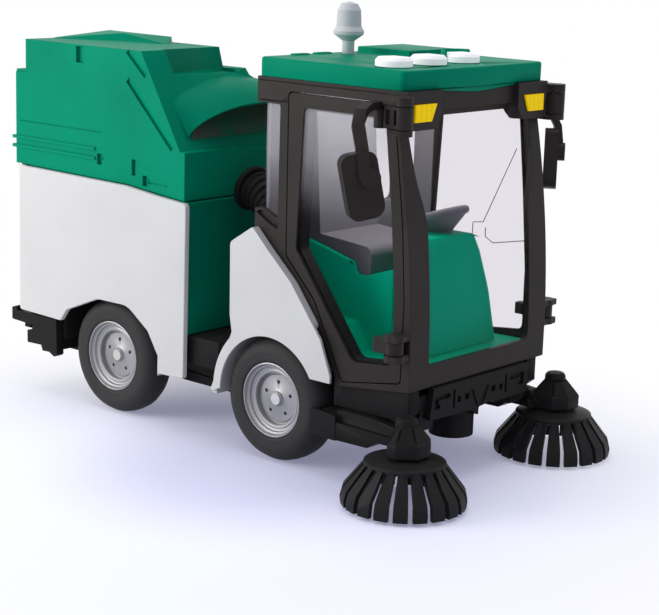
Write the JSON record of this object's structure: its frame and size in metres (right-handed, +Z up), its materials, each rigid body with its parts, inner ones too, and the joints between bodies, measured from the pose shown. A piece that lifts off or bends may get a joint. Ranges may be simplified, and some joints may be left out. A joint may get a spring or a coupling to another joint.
{
  "type": "toy street sweeper truck",
  "caption": "Toy street sweeper with a glazed cab, opening doors, tipping hopper, suction hose and side brushes that spin, on free-rolling wheels.",
  "frame": {"origin": "middle of the bounding box, on the floor under the wheels", "axes": "+X forward, +Y to the vehicle's left, +Z up"},
  "size_m": [0.2716, 0.1542, 0.1927],
  "materials": {
    "green_abs": "satin moulded",
    "dark_green_abs": "satin moulded",
    "white_abs": "satin moulded",
    "charcoal_abs": "fine matt grain",
    "black_pp": "matt",
    "tyre_vinyl": "matt",
    "rim_silver": "silver paint",
    "steel": "bright",
    "clear_pc": "clear moulded",
    "yellow_lens": "translucent",
    "frosted_lens": "translucent",
    "grey_abs": "satin",
    "bristle_pp": "matt flexible",
    "button_grey": "soft satin"
  },
  "bodies": {
    "truck": {"chassis": "black_pp", "rear_bumper": "black_pp", "lower_tub": "dark_green_abs", "hopper_hinge_pin": "steel", "suction_hose": "black_pp", "cab_frame": "charcoal_abs", "windscreen": "clear_pc", "side_glass": "clear_pc", "cab_roof": "green_abs", "headlamp_lenses": "yellow_lens", "beacon": "frosted_lens", "roof_buttons": "button_grey", "cab_tub": "green_abs", "console": "green_abs", "seat": "grey_abs", "steering_wheel": "charcoal_abs", "front_bumper": "black_pp", "suction_nozzle": "black_pp", "rear_panel_right": "white_abs", "front_fender_right": "white_abs", "brush_arm_right": "black_pp", "rear_panel_left": "white_abs", "front_fender_left": "white_abs", "brush_arm_left": "black_pp"},
    "front_wheels": {"front_tyre_right": "tyre_vinyl", "front_tyre_left": "tyre_vinyl", "front_rim_right": "rim_silver", "front_rim_left": "rim_silver", "front_axle": "steel"},
    "rear_wheels": {"rear_tyre_right": "tyre_vinyl", "rear_tyre_left": "tyre_vinyl", "rear_rim_right": "rim_silver", "rear_rim_left": "rim_silver", "rear_axle": "steel"},
    "hopper": {"hopper_shell": "green_abs", "hopper_scoop": "green_abs"},
    "door_right_body": {"door_right": "charcoal_abs", "door_glass_right": "clear_pc", "mirror_right": "charcoal_abs"},
    "brush_right_body": {"side_brush_right": "bristle_pp"},
    "door_left_body": {"door_left": "charcoal_abs", "door_glass_left": "clear_pc", "mirror_left": "charcoal_abs"},
    "brush_left_body": {"side_brush_left": "bristle_pp"}
  },
  "joints": [
    {"name": "front_axle_spin", "type": "hinge", "parent": "truck", "child": "front_wheels", "pos_m": [0.03395, 0, 0.027], "axis": [0, 1, 0], "continuous": true},
    {"name": "rear_axle_spin", "type": "hinge", "parent": "truck", "child": "rear_wheels", "pos_m": [-0.06725, 0, 0.027], "axis": [0, 1, 0], "continuous": true},
    {"name": "hopper_tip", "type": "hinge", "parent": "truck", "child": "hopper", "pos_m": [-0.13365, 0, 0.1114], "axis": [0, -1, 0], "range_deg": [0, 50]},
    {"name": "door_right_swing", "type": "hinge", "parent": "truck", "child": "door_right_body", "pos_m": [0.10275, -0.0515, 0.063], "axis": [0, 0, 1], "range_deg": [0, 65]},
    {"name": "door_left_swing", "type": "hinge", "parent": "truck", "child": "door_left_body", "pos_m": [0.10275, 0.0515, 0.063], "axis": [0, 0, -1], "range_deg": [0, 65]},
    {"name": "brush_right_spin", "type": "hinge", "parent": "truck", "child": "brush_right_body", "pos_m": [0.11055, -0.0518, 0.02], "axis": [0, 0, 1], "continuous": true},
    {"name": "brush_left_spin", "type": "hinge", "parent": "truck", "child": "brush_left_body", "pos_m": [0.11055, 0.0518, 0.02], "axis": [0, 0, 1], "continuous": true}
  ]
}
